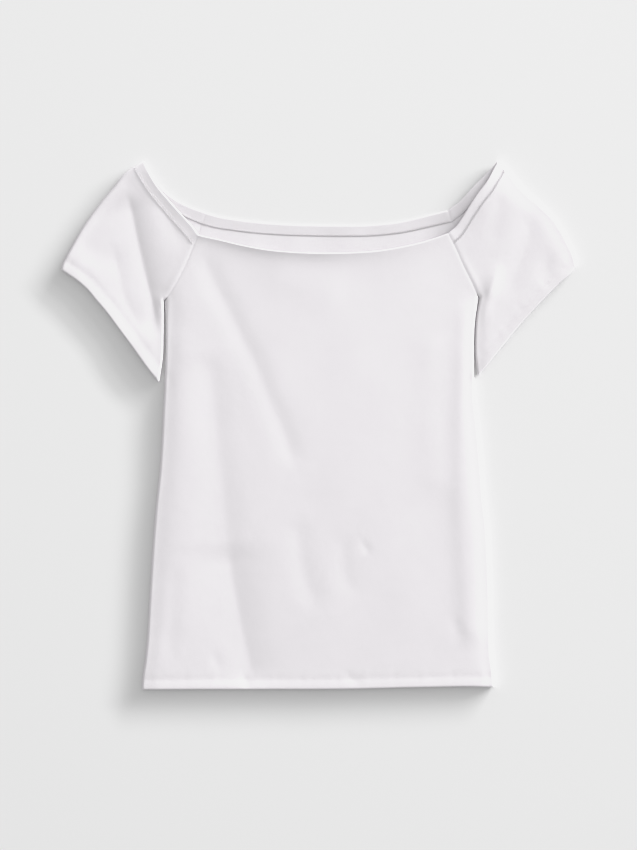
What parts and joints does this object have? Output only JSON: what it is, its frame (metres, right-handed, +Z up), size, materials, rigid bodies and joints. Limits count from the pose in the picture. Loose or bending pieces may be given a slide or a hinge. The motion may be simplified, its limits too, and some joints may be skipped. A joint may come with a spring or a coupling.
{
  "type": "off-shoulder top",
  "caption": "Fitted off-shoulder jersey top with short raglan sleeves and turned hems, laid flat on its back with the front up.",
  "frame": {"origin": "middle of the garment's outline in plan, on the surface that it lies on", "axes": "+X across the body towards the picture's right, +Y from the hem towards the neck, +Z up out of the front panel"},
  "size_m": [0.6168, 0.6329, 0.0105],
  "materials": {
    "front_panel_jersey": "matte fine white jersey knit",
    "back_panel_jersey": "matte fine white jersey knit",
    "left_sleeve_jersey": "matte fine white jersey knit",
    "right_sleeve_jersey": "matte fine white jersey knit"
  },
  "bodies": {
    "root": {"front_panel": "front_panel_jersey", "back_panel": "back_panel_jersey", "left_sleeve": "left_sleeve_jersey", "right_sleeve": "right_sleeve_jersey"}
  },
  "joints": []
}
